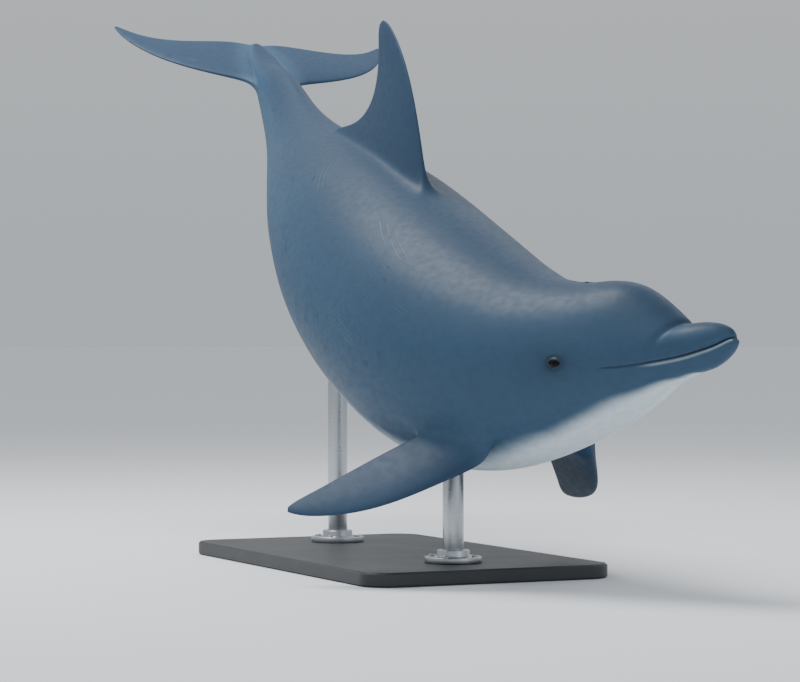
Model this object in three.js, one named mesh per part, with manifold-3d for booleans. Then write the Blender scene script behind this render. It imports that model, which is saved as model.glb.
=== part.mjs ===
// Bottlenose dolphin, adult, life size: a still museum model on a plain stand.
//
// Millimetres, +Z up, nose toward +X, the animal's left toward +Y. The origin is
// on the floor, below the middle of the object's box.
//
// The animal is laid out first as a straight body: a point there is (s, y, z),
// with s back from the tip of the upper beak, y to the left and z up from the
// body's axis. `bend` then carries it to its place along the curved spine.

import * as THREE from "three";
import { mergeVertices } from "three/addons/utils/BufferGeometryUtils.js";
import Module from "manifold-3d";

// ---- driving dimensions ----------------------------------------------------

const GAP = 0.4;             // left between pieces that meet
const AROUND = 32;           // facets round the body
const BODY_END = 2496;       // the tail stock's end, in the notch of the flukes

// Outline of the straight body, as [s, distance from the axis].
const BACK = [
  [12, 25], [50, 35], [92, 60], [150, 102], [215, 138], [270, 149], [330, 152], [440, 166],
  [580, 199], [760, 228], [960, 238], [1200, 230], [1450, 189], [1700, 144], [1950, 107],
  [2100, 93], [2200, 75], [2280, 45], [2350, 26], [2430, 12], [2490, 3],
];
const BELLY = [
  [12, 31], [50, 51], [92, 57], [150, 71], [215, 105], [330, 151], [440, 188], [580, 231],
  [760, 264], [960, 263], [1200, 244], [1450, 199], [1700, 151], [1950, 108], [2100, 90],
  [2200, 73], [2280, 50], [2360, 34], [2490, 12],
];
const HALF_WIDTH = [
  [12, 23], [50, 39], [92, 53], [150, 81], [215, 104], [330, 135], [440, 169], [580, 203],
  [760, 232], [960, 240], [1200, 221], [1450, 177], [1700, 122], [1950, 76], [2150, 56],
  [2300, 46], [2400, 37], [2490, 12],
];
// Top of the beak, which runs on under the melon.
const BEAK_TOP = [[12, 23], [50, 35], [92, 40], [150, 52], [215, 62], [330, 69]];
// How far the keels above and below the tail stock narrow its section there.
const KEEL = [[1300, 0], [1900, 0.22], [2200, 0.35], [2490, 0.2]];

const TIP_ROUNDING = 26;     // length of the beak's round end
const CREASE = 100;          // where the melon rises from the beak, at the top
const CREASE_BOW = 0.006;    // how the crease runs back on each side, per mm
const MELON_RISE = 93;       // length over which the melon rises
const HEAD_BLEND_END = 330;  // from here on the back line alone gives the top
const JAW_LEAD = 10;         // how far the lower jaw reaches past the upper beak
const JAW_LEAD_FADE = 80;

// The closed mouth, as [s, z], and the back edge of the lower jaw.
const MOUTH = [[-30, -3], [0, -5], [26, -14], [64, -21], [126, -27], [185, -29], [243, -27]];
const THROAT = [330, -200];

const EYE = { s: 320, z: -10, radius: 14, sunk: 9 };
const BLOWHOLE = { s: 318, arc: 22, slit: 4, depth: 5, half: 70 };

// Stations where one length of the body ends and the next begins.
const CUTS = { neck: 390, chest: 540, trunk: 960, loin: 1430, tail_stock: 1850 };

// The spine, by its direction at a few stations, in degrees: turned to the left
// of +X, climbing toward the nose, and banked with the left side low.
const SPINE_AT = [0, 400, 850, 1250, 1650, 2050, 2400];
const TURN = [27.5, 15.5, 2.5, -3, -9.5, -11, -8.5];
const CLIMB = [12, 2, -20.5, -25.5, -24, -30, -32.5];
const BANK_AT = [0, 1000, 2400];
const BANK = [2, 0, 3.5];
const MID = 960;             // station that stands above the stand's middle
const MID_HEIGHT = 565;      // height of the spine above the floor there

// Each fin is an outline between a leading and a trailing edge, both Bezier
// curves of [chordwise, spanwise] points from root to tip.
const DORSAL_FIN = {
  station: 1200, s: 1032, sunk: 22, thick: [28, 5],
  lead: [[-39, 0], [103, 172], [216, 275], [366, 290]],
  trail: [[529, -30], [274, 60], [344, 188], [390, 260]],
};
const FLIPPER = {
  station: 600, root: [603, 133, -156], thick: [24, 4],
  lead: [[-129, -40], [-94, 143], [-92, 225], [43, 351]],
  trail: [[1, -40], [54, 68], [44, 215], [67, 340]],
};
// How each flipper is held, in degrees: swept back, drooped, twisted.
const FLIPPER_HELD = { left: [27, 38.5, -2.5], right: [20.5, 40, 17.5] };
const FLUKE = {
  station: 2300, thick: [26, 4], lift: -2, pitch: 1.9,
  lead: [[2241, 6], [2325, 124], [2322, 312], [2575, 366]],
  trail: [[2488, 0.4], [2590, 62], [2421, 247], [2586, 353]],
};
const EDGE = 1.5;            // half thickness of a fin's trailing edge
const ROOT_FLARE = 0.7;      // extra thickness at a fin's root, as a share
const TIP_FROM = 0.92;       // where along a fin its tip begins to round
const TIP_LEFT = 0.45;       // share of the fin's width left at the very tip

// The stand.
const BASE = { length: 1000, width: 560, height: 30, corner: 60, bevel: 4 };
const ROD_RADIUS = 22;
const FLANGE = { radius: 60, height: 12 };
const ROD_STATIONS = { front: 800, rear: 1500 };

// ---- finishes --------------------------------------------------------------

const finish = (color, roughness, metalness = 0) =>
  new THREE.MeshStandardMaterial({ color, roughness, metalness });
const backSkin = () => finish(0x2f475e, 0.4);
const jawSkin = () => finish(0xc3d1d9, 0.4);
const finSkin = () => finish(0x2a4057, 0.4);
const eyeball = () => finish(0x0d0e10, 0.15);
const paintedBase = () => finish(0x2b2e31, 0.6);
const brushedSteel = () => finish(0x9fa4a8, 0.35, 1);

// ---- curves ----------------------------------------------------------------

/** A smooth curve through [x, y] points, held at its end values outside. */
function curve(points) {
  const n = points.length;
  const steps = points.slice(1).map(([x, y], i) => (y - points[i][1]) / (x - points[i][0]));
  const slopes = points.map((_, i) => {
    if (i === 0) return steps[0];
    if (i === n - 1) return steps[n - 2];
    const before = points[i][0] - points[i - 1][0];
    const after = points[i + 1][0] - points[i][0];
    return (steps[i - 1] * after + steps[i] * before) / (before + after);
  });
  return (x) => {
    let i = 0;
    while (i < n - 2 && x > points[i + 1][0]) i += 1;
    const h = points[i + 1][0] - points[i][0];
    const t = Math.min(Math.max((x - points[i][0]) / h, 0), 1);
    const t2 = t * t;
    const t3 = t2 * t;
    return (2 * t3 - 3 * t2 + 1) * points[i][1] + (t3 - 2 * t2 + t) * h * slopes[i]
      + (3 * t2 - 2 * t3) * points[i + 1][1] + (t3 - t2) * h * slopes[i + 1];
  };
}

const zip = (xs, ys) => xs.map((x, i) => [x, ys[i]]);
const clamp01 = (x) => Math.min(Math.max(x, 0), 1);
const radians = THREE.MathUtils.degToRad;

/** The point at t on the Bezier curve of these [x, y] points. */
function bezier(points, t) {
  let row = points;
  while (row.length > 1) {
    row = row.slice(1).map((q, i) => q.map((v, k) => row[i][k] + (v - row[i][k]) * t));
  }
  return row[0];
}

// ---- the spine -------------------------------------------------------------

const SPINE_STEP = 10;
const SPINE_START = -40;
const SPINE_STEPS = 270;

/** Place and directions of the spine at even steps along it. */
function layOutSpine() {
  const turn = curve(zip(SPINE_AT, TURN));
  const climb = curve(zip(SPINE_AT, CLIMB));
  const bank = curve(zip(BANK_AT, BANK));
  const frames = [];
  const at = new THREE.Vector3();
  for (let i = 0; i <= SPINE_STEPS; i += 1) {
    const s = SPINE_START + i * SPINE_STEP;
    const [a, b, r] = [turn(s), climb(s), bank(s)].map(radians);
    const ahead = new THREE.Vector3(Math.cos(a) * Math.cos(b), Math.sin(a) * Math.cos(b), Math.sin(b));
    const level = new THREE.Vector3(-Math.sin(a), Math.cos(a), 0);
    const upright = ahead.clone().cross(level);
    const left = level.clone().multiplyScalar(Math.cos(r)).addScaledVector(upright, -Math.sin(r));
    const up = upright.clone().multiplyScalar(Math.cos(r)).addScaledVector(level, Math.sin(r));
    if (i > 0) {
      at.addScaledVector(ahead, -SPINE_STEP / 2).addScaledVector(frames[i - 1].ahead, -SPINE_STEP / 2);
    }
    frames.push({ at: at.clone(), ahead, left, up });
  }
  return frames;
}

const spine = layOutSpine();

/** The spine's place and directions at station s. */
function spineAt(s) {
  const i = Math.min(Math.max((s - SPINE_START) / SPINE_STEP, 0), SPINE_STEPS - 1e-6);
  const a = spine[Math.floor(i)];
  const b = spine[Math.floor(i) + 1];
  const t = i - Math.floor(i);
  return Object.fromEntries(Object.keys(a).map((k) => [k, a[k].clone().lerp(b[k], t)]));
}

const mid = spineAt(MID).at;
const toStand = new THREE.Vector3(-mid.x, -mid.y, MID_HEIGHT - mid.z);

/** A point of the straight body, carried to its place along the spine. */
function bend(p) {
  const { at, left, up } = spineAt(p.x);
  return at.add(toStand).addScaledVector(left, p.y).addScaledVector(up, p.z);
}

/** The same for a fin, which stays rigid and rides at one station. */
const rideAt = (station) => {
  const { at, ahead, left, up } = spineAt(station);
  at.add(toStand);
  return (p) => at.clone().addScaledVector(ahead, station - p.x)
    .addScaledVector(left, p.y).addScaledVector(up, p.z);
};

// ---- the straight body -----------------------------------------------------

const back = curve(BACK);
const belly = curve(BELLY);
const halfWidth = curve(HALF_WIDTH);
const beakTop = curve(BEAK_TOP);
const keel = curve(KEEL);

/** Where the melon's crease crosses the distance y from the middle. */
const creaseAt = (y) => CREASE + CREASE_BOW * y * y;

/** How far the rings bow back with the crease: most at the crease itself. */
const ringBow = (s) => CREASE_BOW * clamp01(s / CREASE) * clamp01((HEAD_BLEND_END - s) / 200);

/**
 * The skin's point on ring s at angle a from the top line, left side first.
 * `grow` moves it outward.
 */
function bodyPoint(s, a, grow = 0) {
  const c = Math.cos(a);
  const n = Math.sin(a);
  const hold = c > 0 ? 1 : (1 + c) ** 2;
  let x = s;
  let y = 0;
  for (let i = 0; i < 6; i += 1) {
    const pinch = keel(Math.max(x, KEEL[0][0])) * c * c;
    y = halfWidth(x) * n * (1 - pinch);
    x = s + ringBow(s) * hold * y * y;
  }
  const round = Math.sqrt(1 - (1 - clamp01(x / TIP_ROUNDING)) ** 2);
  y *= round;
  let z = belly(x) * c * round;
  if (c > 0) {
    z = back(x) * c * round;
    if (x < HEAD_BLEND_END) {
      const u = clamp01((x - creaseAt(y)) / MELON_RISE);
      const low = beakTop(x) * c * round;
      z = low + (z - low) * Math.sqrt(u * (2 - u));
    }
  }
  x -= JAW_LEAD * clamp01((-z - 2) / 20) * clamp01(1 - s / JAW_LEAD_FADE);
  return new THREE.Vector3(x, y + grow * n, z + grow * c);
}

const ring = (s, grow) =>
  Array.from({ length: AROUND }, (_, i) => bodyPoint(s, (i * 2 * Math.PI) / AROUND, grow));

/** Half width of the straight body at station s and height z below its axis. */
const sideAt = (s, z) => halfWidth(s) * Math.sqrt(1 - (z / belly(s)) ** 2);

// ---- solids ----------------------------------------------------------------

const wasm = await Module();
wasm.setup();

/** A closed solid from rings of points; each end closes on its own middle. */
function loft(rings) {
  const n = rings[0].length;
  const points = rings.flat();
  const faces = [];
  for (let r = 0; r < rings.length - 1; r += 1) {
    for (let i = 0; i < n; i += 1) {
      const [a, b] = [r * n + i, r * n + ((i + 1) % n)];
      faces.push(a, b, a + n, b, b + n, a + n);
    }
  }
  [0, rings.length - 1].forEach((r) => {
    const middle = rings[r].reduce((sum, p) => sum.add(p), new THREE.Vector3()).divideScalar(n);
    const hub = points.push(middle) - 1;
    for (let i = 0; i < n; i += 1) {
      const [a, b] = [r * n + i, r * n + ((i + 1) % n)];
      faces.push(...(r === 0 ? [hub, b, a] : [hub, a, b]));
    }
  });
  const geometry = new THREE.BufferGeometry().setFromPoints(points);
  geometry.setIndex(faces);
  return facingOut(geometry);
}

/** The same geometry with its faces turned so that its volume is positive. */
function facingOut(geometry) {
  const p = geometry.attributes.position;
  const index = geometry.index.array;
  const [a, b, c] = [new THREE.Vector3(), new THREE.Vector3(), new THREE.Vector3()];
  let volume = 0;
  for (let i = 0; i < index.length; i += 3) {
    a.fromBufferAttribute(p, index[i]);
    b.fromBufferAttribute(p, index[i + 1]);
    c.fromBufferAttribute(p, index[i + 2]);
    volume += a.dot(b.cross(c));
  }
  if (volume < 0) {
    for (let i = 0; i < index.length; i += 3) {
      [index[i], index[i + 1]] = [index[i + 1], index[i]];
    }
  }
  return geometry;
}

function solid(geometry) {
  geometry.deleteAttribute("normal");
  geometry.deleteAttribute("uv");
  const merged = mergeVertices(geometry, 1e-4);
  return new wasm.Manifold(new wasm.Mesh({
    numProp: 3,
    vertProperties: merged.attributes.position.array,
    triVerts: merged.index.array,
  }));
}

/** The solid's geometry, each of its points moved by `place`. */
function geometryOf(body, place = (p) => p) {
  const mesh = body.getMesh();
  const geometry = new THREE.BufferGeometry();
  const points = [];
  for (let i = 0; i < mesh.vertProperties.length; i += mesh.numProp) {
    points.push(place(new THREE.Vector3(...mesh.vertProperties.slice(i, i + 3))));
  }
  geometry.setFromPoints(points);
  geometry.setIndex(Array.from(mesh.triVerts));
  return facingOut(geometry);
}

/** An outline of [x, y] points as a prism between two heights. */
function prism(outline, from, to) {
  const shape = new THREE.Shape(outline.map(([x, y]) => new THREE.Vector2(x, y)));
  return new THREE.ExtrudeGeometry(shape, { depth: to - from, bevelEnabled: false })
    .translate(0, 0, from);
}

// ---- the body's lengths ----------------------------------------------------

/** Stations from a to b, about `step` apart, with both ends. */
function between(a, b, step) {
  const n = Math.max(1, Math.round((b - a) / step));
  return Array.from({ length: n + 1 }, (_, i) => a + ((b - a) * i) / n);
}

const HEAD_RINGS = [
  0.4, 4, 11, 22, 38, 56, 76, 94, 99.5, 107, 118, 134, 156, 182, 212, 246, 282, 318, 354,
];
const TAIL_RINGS = [2330, 2370, 2410, 2445, 2475, 2490, BODY_END];

/** Closes the stock's end: its last rings shrink to a blunt tip. */
const endScale = (s) => (s > 2490 ? 0.5 : 1);

function bodyRings(stations, grow = 0) {
  return stations.map((s) => ring(s, grow).map((p) => {
    p.y *= endScale(s);
    p.z *= endScale(s);
    return p;
  }));
}

const RING_STEP = 68;

/** Stations of the length from one cut to the next, each end short of its cut. */
const lengthOf = (from, to) =>
  [from + GAP / 2, ...between(from, to, RING_STEP).slice(1, -1), to - GAP / 2];

const cutList = Object.entries(CUTS);
const lengths = Object.fromEntries(cutList.map(([name, from], i) => {
  const last = i === cutList.length - 1;
  const to = last ? 2330 : cutList[i + 1][1];
  const stations = lengthOf(from, to);
  return [name, last ? [...stations.slice(0, -1), ...TAIL_RINGS] : stations];
}));

/** The whole body, grown by the gap, to be cut from what meets it. */
const grownBody = solid(loft(
  bodyRings([...HEAD_RINGS, ...Object.values(lengths).flat()], GAP).map((r) => r.map(bend)),
));

// ---- the head --------------------------------------------------------------

/** Below the closed mouth and ahead of the jaw's back edge, moved up by `gap`. */
function jawRegion(gap) {
  const top = curve(MOUTH);
  const from = MOUTH[0][0];
  const [corner] = MOUTH[MOUTH.length - 1];
  const line = between(from, corner, 20).map((s) => [s + gap, top(s) + gap]);
  const outline = [...line, [THROAT[0] + gap, THROAT[1]], [from, THROAT[1]]];
  return solid(prism(outline, -200, 200).rotateX(Math.PI / 2));
}

/** Ahead of the melon's crease, moved back by `gap`. */
function beakRegion(gap) {
  const edge = between(-100, 100, 10).map((y) => [creaseAt(y) + gap, y]);
  return solid(prism([[-40, -100], ...edge, [-40, 100]], -200, 200));
}

/** The blowhole's slit: a crescent, open toward the beak. */
function blowholeSlit() {
  const { s, arc, slit, depth, half } = BLOWHOLE;
  const angles = between(-half, half, half / 5).map(radians);
  const along = (r) => angles.map((a) => [s + r * Math.cos(a), r * Math.sin(a)]);
  const outline = [...along(arc - slit / 2), ...along(arc + slit / 2).reverse()];
  const top = back(s + arc);
  return solid(prism(outline, top - depth, top + 30));
}

function eyeBall(side, grow = 0) {
  const y = side * (sideAt(EYE.s, EYE.z) - EYE.sunk);
  return solid(new THREE.SphereGeometry(EYE.radius + grow, 16, 10).translate(EYE.s, y, EYE.z));
}

function headPieces() {
  const whole = solid(loft(bodyRings([...HEAD_RINGS, CUTS.neck - GAP / 2])));
  const lower = whole.intersect(jawRegion(0));
  const above = whole.subtract(jawRegion(GAP));
  const upper = above.intersect(beakRegion(0));
  let melon = above.subtract(beakRegion(GAP)).subtract(blowholeSlit());
  [1, -1].forEach((side) => {
    melon = melon.subtract(eyeBall(side, GAP));
  });
  return [
    ["head", melon, backSkin()],
    ["upper_jaw", upper, backSkin()],
    ["lower_jaw", lower, jawSkin()],
    ["eye_left", eyeBall(1), eyeball()],
    ["eye_right", eyeBall(-1), eyeball()],
  ].map(([name, body, material]) => named(name, geometryOf(body, bend), material));
}

// ---- fins ------------------------------------------------------------------

const FIN_ROWS = 12;
const FIN_CHORD = 7;

/** Rings of a fin as (chordwise, spanwise, through) points, root to tip. */
function finRings({ lead, trail, thick }) {
  return between(0, 1, 1 / FIN_ROWS).map((row) => {
    const t = 1 - (1 - row) ** 1.3;
    const [a, b] = [bezier(lead, t), bezier(trail, t)];
    const flare = 1 + ROOT_FLARE * clamp01(1 - t / 0.25) ** 2;
    const out = clamp01((t - TIP_FROM) / (1 - TIP_FROM));
    const narrow = Math.sqrt(1 - (1 - TIP_LEFT ** 2) * out ** 2);
    const full = (thick[0] + (thick[1] - thick[0]) * t) * flare * narrow;
    const across = between(0, 1, 1 / FIN_CHORD).map((v) => (1 - Math.cos(Math.PI * v)) / 2);
    const one = (side) => across.map((v) => {
      const along = 0.5 + (v - 0.5) * narrow;
      return new THREE.Vector3(
        a[0] + (b[0] - a[0]) * along,
        a[1] + (b[1] - a[1]) * along,
        side * (1.5 * full * Math.sqrt(v) * (1 - v) + EDGE * v),
      );
    });
    return [...one(1), ...one(-1).slice(1).reverse()];
  });
}

function finPiece(name, shape, layOut) {
  const place = rideAt(shape.station);
  const rings = finRings(shape).map((r) => r.map((p) => place(layOut(p))));
  const body = solid(loft(rings)).subtract(grownBody);
  const [outside] = body.decompose().sort((p, q) => q.volume() - p.volume());
  return named(name, geometryOf(outside), finSkin());
}

function dorsalFin() {
  const foot = back(DORSAL_FIN.station) - DORSAL_FIN.sunk;
  return finPiece("dorsal_fin", DORSAL_FIN,
    (p) => new THREE.Vector3(DORSAL_FIN.s + p.x, p.z, foot + p.y));
}

function flipper(name, side) {
  const [sweep, droop, twist] = FLIPPER_HELD[name].map(radians);
  const span = new THREE.Vector3(
    Math.sin(sweep),
    side * Math.cos(sweep) * Math.cos(droop),
    -Math.cos(sweep) * Math.sin(droop),
  );
  const flat = new THREE.Vector3(1, 0, 0).addScaledVector(span, -span.x).normalize();
  const chord = flat.clone().applyAxisAngle(span, twist);
  const through = span.clone().cross(chord);
  const [s, y, z] = FLIPPER.root;
  return finPiece(`flipper_${name}`, FLIPPER, (p) => new THREE.Vector3(s, side * y, z)
    .addScaledVector(chord, p.x).addScaledVector(span, p.y).addScaledVector(through, p.z));
}

function fluke(name, side) {
  const [rise, fall] = [FLUKE.lift, FLUKE.pitch].map((d) => Math.tan(radians(d)));
  return finPiece(`fluke_${name}`, FLUKE, (p) => new THREE.Vector3(
    p.x, side * p.y, p.z + rise * p.y - fall * (p.x - FLUKE.lead[0][0])));
}

// ---- the stand -------------------------------------------------------------

/** The base plate: round corners and a small bevel round its top edge. */
function basePlate(middle) {
  const { length, width, height, corner, bevel } = BASE;
  const shape = new THREE.Shape();
  const [x, y] = [length / 2 - bevel, width / 2 - bevel];
  const r = corner - bevel;
  shape.moveTo(-x + r, -y);
  shape.absarc(x - r, -y + r, r, -Math.PI / 2, 0);
  shape.absarc(x - r, y - r, r, 0, Math.PI / 2);
  shape.absarc(-x + r, y - r, r, Math.PI / 2, Math.PI);
  shape.absarc(-x + r, -y + r, r, Math.PI, 1.5 * Math.PI);
  const plate = new THREE.ExtrudeGeometry(shape, {
    depth: height - 2 * bevel, bevelThickness: bevel, bevelSize: bevel, bevelSegments: 1,
    curveSegments: 6,
  });
  return named("stand_base", plate.translate(middle.x, middle.y, bevel), paintedBase());
}

function rodPieces(name, station) {
  const foot = bend(new THREE.Vector3(station, 0, 0));
  const rodHeight = foot.z - BASE.height - GAP;
  const upright = (radius, height, inner) => {
    const profile = [[inner, 0], [radius, 0], [radius, height], [inner, height], [inner, 0]];
    return new THREE.LatheGeometry(profile.map(([r, h]) => new THREE.Vector2(r, h)), 32)
      .rotateX(Math.PI / 2).translate(foot.x, foot.y, BASE.height + GAP);
  };
  const rod = solid(upright(ROD_RADIUS, rodHeight, 0)).subtract(grownBody);
  const [below] = rod.decompose().sort((p, q) => q.volume() - p.volume());
  const flange = solid(upright(FLANGE.radius, FLANGE.height, ROD_RADIUS + GAP));
  return [
    named(`stand_rod_${name}`, geometryOf(below), brushedSteel()),
    named(`stand_flange_${name}`, geometryOf(flange), brushedSteel()),
  ];
}

// ---- assembly --------------------------------------------------------------

function named(name, geometry, material) {
  const mesh = new THREE.Mesh(geometry, material);
  mesh.name = name;
  return mesh;
}

const dolphin = new THREE.Group();
dolphin.add(
  ...headPieces(),
  ...Object.entries(lengths).map(([name, stations]) =>
    named(name, loft(bodyRings(stations).map((r) => r.map(bend))), backSkin())),
  dorsalFin(),
  flipper("left", 1),
  flipper("right", -1),
  fluke("left", 1),
  fluke("right", -1),
);

const stand = new THREE.Group();
const rodFeet = Object.values(ROD_STATIONS).map((s) => bend(new THREE.Vector3(s, 0, 0)));
stand.add(
  basePlate(rodFeet[0].clone().lerp(rodFeet[1], 0.5)),
  ...Object.entries(ROD_STATIONS).flatMap(([name, station]) => rodPieces(name, station)),
);

const object = new THREE.Group();
object.add(dolphin, stand);
const box = new THREE.Box3().setFromObject(object);
object.position.set(-(box.min.x + box.max.x) / 2, -(box.min.y + box.max.y) / 2, 0);

export default object;
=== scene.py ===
"""Bottlenose dolphin, life size, as a museum model on a plain display stand.

The animal is laid out as a straight body first: a point there is (s, y, z) in
millimetres, with s back from the tip of the upper beak, y to the left and z up
from the body's axis. `bend` carries it to its place along the curved spine, and
`unbend` takes it back, which is how every mark on the skin finds its place.
"""

import math

import bmesh
import bpy
import numpy as np
from bpy.props import FloatProperty, FloatVectorProperty, PointerProperty
from mathutils import Matrix, Vector


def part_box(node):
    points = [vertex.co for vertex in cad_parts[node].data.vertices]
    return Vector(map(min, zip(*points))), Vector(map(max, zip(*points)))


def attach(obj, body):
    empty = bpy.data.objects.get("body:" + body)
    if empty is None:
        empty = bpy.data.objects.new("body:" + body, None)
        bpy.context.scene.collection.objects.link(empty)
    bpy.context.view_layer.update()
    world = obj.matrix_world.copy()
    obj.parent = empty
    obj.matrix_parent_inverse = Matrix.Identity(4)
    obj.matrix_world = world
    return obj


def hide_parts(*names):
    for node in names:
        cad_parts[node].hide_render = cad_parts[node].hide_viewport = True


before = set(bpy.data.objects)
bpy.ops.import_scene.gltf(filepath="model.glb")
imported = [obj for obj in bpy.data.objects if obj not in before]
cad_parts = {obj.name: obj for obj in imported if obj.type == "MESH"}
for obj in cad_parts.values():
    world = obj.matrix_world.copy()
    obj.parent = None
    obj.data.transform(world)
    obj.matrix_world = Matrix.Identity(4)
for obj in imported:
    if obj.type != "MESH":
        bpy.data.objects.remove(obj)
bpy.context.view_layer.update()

bl_info = {
    "name": "Museum dolphin",
    "version": (1, 0, 0),
    "blender": (4, 5, 0),
    "location": "3D View > Sidebar > Dolphin",
    "description": "Builds a life-size bottlenose dolphin on a display stand",
    "category": "Object",
}

MM = 0.001

# ---- the straight body, in millimetres ----

BACK = (
    (12, 25), (50, 35), (92, 60), (150, 102), (215, 138), (270, 149), (330, 152), (440, 166),
    (580, 199), (760, 228), (960, 238), (1200, 230), (1450, 189), (1700, 144), (1950, 107),
    (2100, 93), (2200, 75), (2280, 45), (2350, 26), (2430, 12), (2490, 3),
)
BELLY = (
    (12, 31), (50, 51), (92, 57), (150, 71), (215, 105), (330, 151), (440, 188), (580, 231),
    (760, 264), (960, 263), (1200, 244), (1450, 199), (1700, 151), (1950, 108), (2100, 90),
    (2200, 73), (2280, 50), (2360, 34), (2490, 12),
)
HALF_WIDTH = (
    (12, 23), (50, 39), (92, 53), (150, 81), (215, 104), (330, 135), (440, 169), (580, 203),
    (760, 232), (960, 240), (1200, 221), (1450, 177), (1700, 122), (1950, 76), (2150, 56),
    (2300, 46), (2400, 37), (2490, 12),
)
BEAK_TOP = ((12, 23), (50, 35), (92, 40), (150, 52), (215, 62), (330, 69))
KEEL = ((1300, 0), (1900, 0.22), (2200, 0.35), (2490, 0.2))
PALE_FROM = (
    (70, 1.1), (85, 0.975), (120, 0.92), (150, 0.868), (210, 0.812), (300, 0.803), (400, 0.824),
    (510, 0.85), (750, 0.805), (1000, 0.765), (1300, 0.77), (1600, 0.85), (1900, 1.1),
)

TIP_ROUNDING = 26
CREASE = 100
CREASE_BOW = 0.006
MELON_RISE = 93
CREASE_FADE = 200      # length over which the crease's bow dies out behind
HEAD_BLEND_END = 330
HEAD_END, TOP_OF_HEAD = 420, 60  # the mouth and blowhole lie ahead of and above these
JAW_LEAD = 10
JAW_LEAD_FADE = 80
BODY_END = 2497

MOUTH = ((-30, -3), (0, -5), (26, -14), (64, -21), (126, -27), (185, -29), (243, -27))
MOUTH_CORNER = 243
EYE_S, EYE_Z, EYE_RADIUS, EYE_SUNK = 320, -10, 14, 9
CORNEA_RISE = 0.8
LID_TILT = 8           # how far the opening's front corner drops, in degrees
BLOWHOLE_S, BLOWHOLE_ARC, BLOWHOLE_HALF = 318, 22, 70

# ---- the spine: its direction at a few stations, in degrees ----

SPINE_AT = (0, 400, 850, 1250, 1650, 2050, 2400)
TURN = (27.5, 15.5, 2.5, -3, -9.5, -11, -8.5)
CLIMB = (12, 2, -20.5, -25.5, -24, -30, -32.5)
BANK_AT = (0, 1000, 2400)
BANK = (2, 0, 3.5)
MID = 960
MID_HEIGHT = 565

# ---- fins: leading and trailing edges as Bezier curves, root to tip ----

DORSAL_FIN = {
    "station": 1200, "s": 1032, "sunk": 22, "thick": (28, 5),
    "lead": ((-39, 0), (103, 172), (216, 275), (366, 290)),
    "trail": ((529, -30), (274, 60), (344, 188), (390, 260)),
}
FLIPPER = {
    "station": 600, "root": (603, 133, -156), "thick": (24, 4),
    "lead": ((-129, -40), (-94, 143), (-92, 225), (43, 351)),
    "trail": ((1, -40), (54, 68), (44, 215), (67, 340)),
}
FLIPPER_HELD = {"left": (27, 38.5, -2.5), "right": (20.5, 40, 17.5)}
FLUKE = {
    "station": 2300, "thick": (26, 4), "lift": -2, "pitch": 1.9,
    "lead": ((2241, 6), (2325, 124), (2322, 312), (2575, 366)),
    "trail": ((2488, 0.4), (2590, 62), (2421, 247), (2586, 353)),
}
EDGE = 1.5
ROOT_FLARE, FLARE_END = 0.7, 0.25
TIP_FROM, TIP_LEFT = 0.92, 0.45  # where a fin's tip rounds off, and the share left

# ---- the skin's net ----

LINES = 48            # lines along the body, line 0 on the back, left side first
HALF = LINES // 2
MOUTH_LINE = 14       # the line that follows the mouth
CROWDING = 0.35       # how far lines crowd toward the mouth
CROWDING_END = 600    # from here on the lines are even
HEAD_RINGS = (
    0.5, 3, 7, 12, 19, 28, 39, 51, 63, 75, 86, 94, 98.5, 101, 105, 112, 121, 132, 144, 158,
    173, 189, 206, 223, 240, 257, 275, 293, 311, 329, 347, 368, 390,
)
FLIPPER_WINDOW = (480, 660, 6)
DORSAL_WINDOW = (995, 1560, 14)
FLUKE_WINDOW = (2222, 2488, 10)
SUBDIVISIONS = 2


def curve(points):
    """A smooth function through (x, y) points, held level outside them."""
    xs, ys = (np.array(row, float) for row in zip(*points))
    steps = np.diff(ys) / np.diff(xs)
    slopes = np.empty(len(xs))
    slopes[0], slopes[-1] = steps[0], steps[-1]
    before, after = np.diff(xs)[:-1], np.diff(xs)[1:]
    slopes[1:-1] = (steps[:-1] * after + steps[1:] * before) / (before + after)

    def at(x):
        i = np.clip(np.searchsorted(xs, x) - 1, 0, len(xs) - 2)
        h = xs[i + 1] - xs[i]
        t = np.clip((x - xs[i]) / h, 0, 1)
        return ((2 * t**3 - 3 * t**2 + 1) * ys[i] + (t**3 - 2 * t**2 + t) * h * slopes[i]
                + (3 * t**2 - 2 * t**3) * ys[i + 1] + (t**3 - t**2) * h * slopes[i + 1])

    return at


back, belly, half_width = curve(BACK), curve(BELLY), curve(HALF_WIDTH)
beak_top, keel, mouth = curve(BEAK_TOP), curve(KEEL), curve(MOUTH)
pale_from = curve(PALE_FROM)


def ramp(x, start, end):
    """0 before start, 1 after end, and smooth between them."""
    t = np.clip((x - start) / (end - start), 0, 1)
    return t * t * (3 - 2 * t)


# ---- the spine ----

STEP = 10
STATIONS = np.arange(-40, 2670, STEP, dtype=float)
COARSE = 8             # every eighth station, for the first guess of a place on the spine


def lay_out_spine():
    """Place, ahead, left and up of the spine at every step along it."""
    a, b = (np.radians(curve(tuple(zip(SPINE_AT, row)))(STATIONS)) for row in (TURN, CLIMB))
    r = np.radians(curve(tuple(zip(BANK_AT, BANK)))(STATIONS))[:, None]
    ahead = np.stack([np.cos(a) * np.cos(b), np.sin(a) * np.cos(b), np.sin(b)], -1)
    level = np.stack([-np.sin(a), np.cos(a), 0 * a], -1)
    raised = np.cross(ahead, level)
    left = np.cos(r) * level - np.sin(r) * raised
    up = np.cos(r) * raised + np.sin(r) * level
    place = np.zeros_like(ahead)
    place[1:] = -np.cumsum((ahead[1:] + ahead[:-1]) / 2 * STEP, 0)
    return [place, ahead, left, up]


SPINE = lay_out_spine()


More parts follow.
